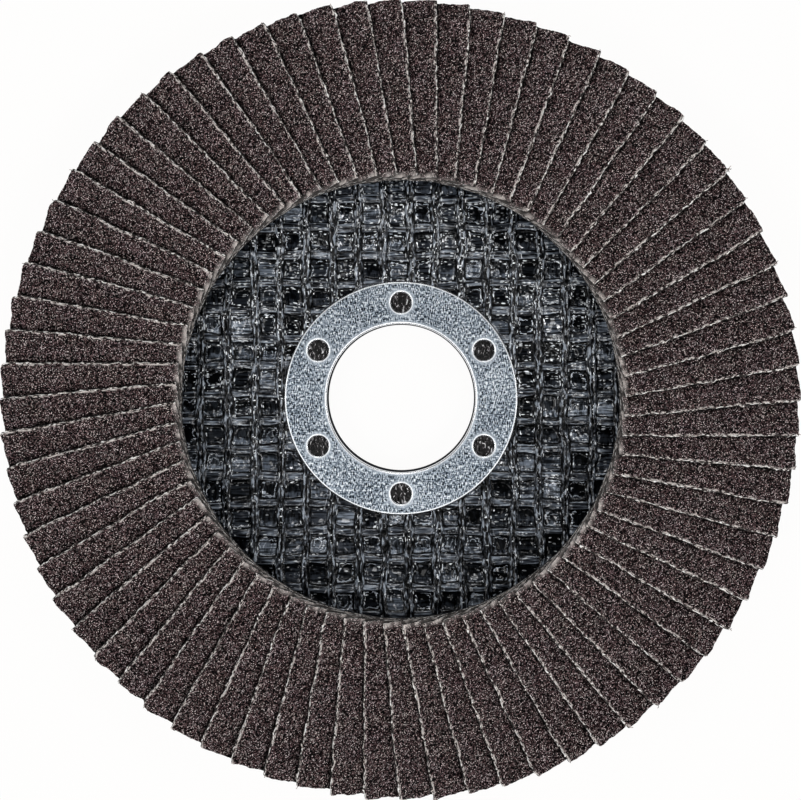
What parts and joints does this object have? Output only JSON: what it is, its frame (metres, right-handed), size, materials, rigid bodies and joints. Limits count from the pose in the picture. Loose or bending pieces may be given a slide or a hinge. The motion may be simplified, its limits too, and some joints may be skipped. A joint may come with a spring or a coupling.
{
  "type": "flap disc",
  "caption": "Flap disc for an angle grinder: a fan of overlapping abrasive cloth flaps bonded to a sunken-hub woven glass-fibre plate with a steel-lined spindle bore.",
  "frame": {"origin": "on the spindle axis, in the plane of the rear ring that the disc lies on", "axes": "+Z along the spindle axis, out of the abrasive face; seen from +Z, one of the front ring's anchoring holes lies straight towards +Y"},
  "size_m": [0.115, 0.115, 0.0142],
  "materials": {
    "abrasive_cloth": "coarse brown aluminium oxide grain on woven cloth",
    "glass_fibre_laminate": "open glass weave wetted out with glossy black resin",
    "zinc_plated_steel": "zinc plated, mottled grey",
    "bonding_resin": "cured resin, dull"
  },
  "bodies": {
    "root": {"backing_plate": "glass_fibre_laminate", "front_ring": "zinc_plated_steel", "rear_ring": "zinc_plated_steel", "adhesive_bed": "bonding_resin", "flap_pair_01": "abrasive_cloth", "flap_pair_02": "abrasive_cloth", "flap_pair_03": "abrasive_cloth", "flap_pair_04": "abrasive_cloth", "flap_pair_05": "abrasive_cloth", "flap_pair_06": "abrasive_cloth", "flap_pair_07": "abrasive_cloth", "flap_pair_08": "abrasive_cloth", "flap_pair_09": "abrasive_cloth", "flap_pair_10": "abrasive_cloth", "flap_pair_11": "abrasive_cloth", "flap_pair_12": "abrasive_cloth", "flap_pair_13": "abrasive_cloth", "flap_pair_14": "abrasive_cloth", "flap_pair_15": "abrasive_cloth", "flap_pair_16": "abrasive_cloth", "flap_pair_17": "abrasive_cloth", "flap_pair_18": "abrasive_cloth", "flap_pair_19": "abrasive_cloth", "flap_pair_20": "abrasive_cloth", "flap_pair_21": "abrasive_cloth", "flap_pair_22": "abrasive_cloth", "flap_pair_23": "abrasive_cloth", "flap_pair_24": "abrasive_cloth", "flap_pair_25": "abrasive_cloth", "flap_pair_26": "abrasive_cloth", "flap_pair_27": "abrasive_cloth", "flap_pair_28": "abrasive_cloth", "flap_pair_29": "abrasive_cloth", "flap_pair_30": "abrasive_cloth", "flap_pair_31": "abrasive_cloth", "flap_pair_32": "abrasive_cloth", "flap_pair_33": "abrasive_cloth", "flap_pair_34": "abrasive_cloth", "flap_pair_35": "abrasive_cloth", "flap_pair_36": "abrasive_cloth"}
  },
  "joints": []
}
